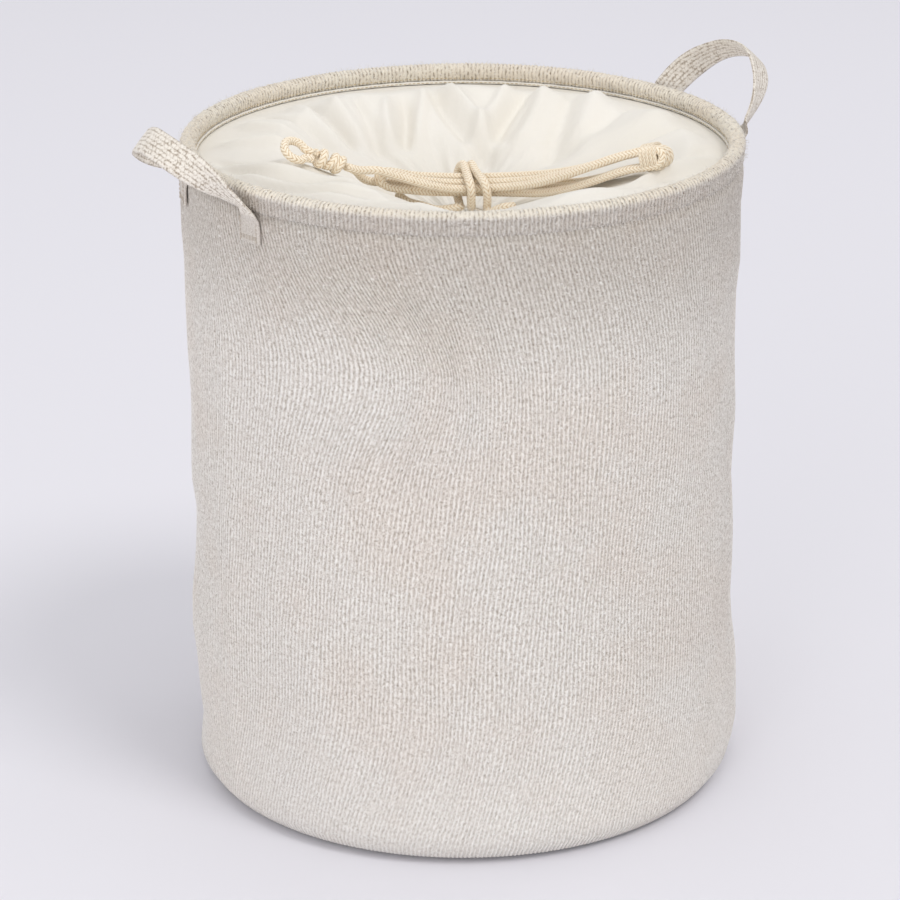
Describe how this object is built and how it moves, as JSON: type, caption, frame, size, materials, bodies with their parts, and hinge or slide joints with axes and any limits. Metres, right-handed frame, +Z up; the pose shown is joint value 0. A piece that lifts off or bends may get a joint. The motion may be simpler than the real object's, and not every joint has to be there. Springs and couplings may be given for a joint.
{
  "type": "pop-up laundry hamper",
  "caption": "Round knitted-fabric laundry hamper that springs up round a spiral wire, with a hooped rim, webbing handles and a cover gathered shut by a drawstring.",
  "frame": {"origin": "middle of the underside, on the floor", "axes": "+Z up, +X from the middle towards the right handle, -X towards the left handle"},
  "size_m": [0.4693, 0.3756, 0.4893],
  "materials": {
    "knit": "ribbed greige knit, dry",
    "cotton": "plain cream cotton, matte",
    "webbing": "woven webbing, matte",
    "rope": "braided cotton cord",
    "thread": "sewing thread",
    "spring_steel": "plain drawn wire",
    "tinplate": "crimped sleeve",
    "plastic": "moulded end cap",
    "board": "pressed fibre board"
  },
  "bodies": {
    "base": {"outer_wall": "knit", "wall_lining": "cotton", "side_seam_tape": "cotton", "spiral_spring": "spring_steel", "spring_casing": "cotton", "spring_lower_cap": "plastic", "bottom_hoop": "spring_steel", "bottom_hoop_ferrule": "tinplate", "base_panel": "knit", "base_seam_binding": "cotton", "base_board": "board", "base_lining": "cotton"},
    "rim": {"rim_sleeve": "knit", "top_hoop": "spring_steel", "top_hoop_ferrule": "tinplate", "spring_upper_cap": "plastic", "rim_binding": "cotton", "rim_stitching": "thread", "closing_cover": "cotton", "cover_hem": "cotton", "drawstring_channel_run": "rope", "drawstring_hank": "rope", "drawstring_tie": "rope", "drawstring_end_knot": "rope", "drawstring_end_loop": "rope", "left_handle_front_tab": "webbing", "left_handle_front_tack": "thread", "left_handle_rear_tab": "webbing", "left_handle_rear_tack": "thread", "right_handle_front_tab": "webbing", "right_handle_front_tack": "thread", "right_handle_rear_tab": "webbing", "right_handle_rear_tack": "thread"},
    "left_handle": {"left_handle": "webbing"},
    "right_handle": {"right_handle": "webbing"}
  },
  "joints": [
    {"name": "collapse", "type": "slide", "parent": "base", "child": "rim", "axis": [0, 0, -1], "range_m": [0, 0.375], "stiffness_N_per_m": 60, "springref_m": -0.15, "deforming": ["outer_wall", "wall_lining", "side_seam_tape", "spiral_spring", "spring_casing"]},
    {"name": "right_handle_swing", "type": "hinge", "parent": "rim", "child": "right_handle", "pos_m": [0.18526, 0, 0.438], "axis": [0, 1, 0], "range_deg": [-36, 82]},
    {"name": "left_handle_swing", "type": "hinge", "parent": "rim", "child": "left_handle", "pos_m": [-0.18526, 0, 0.438], "axis": [0, -1, 0], "range_deg": [-42, 76]}
  ]
}
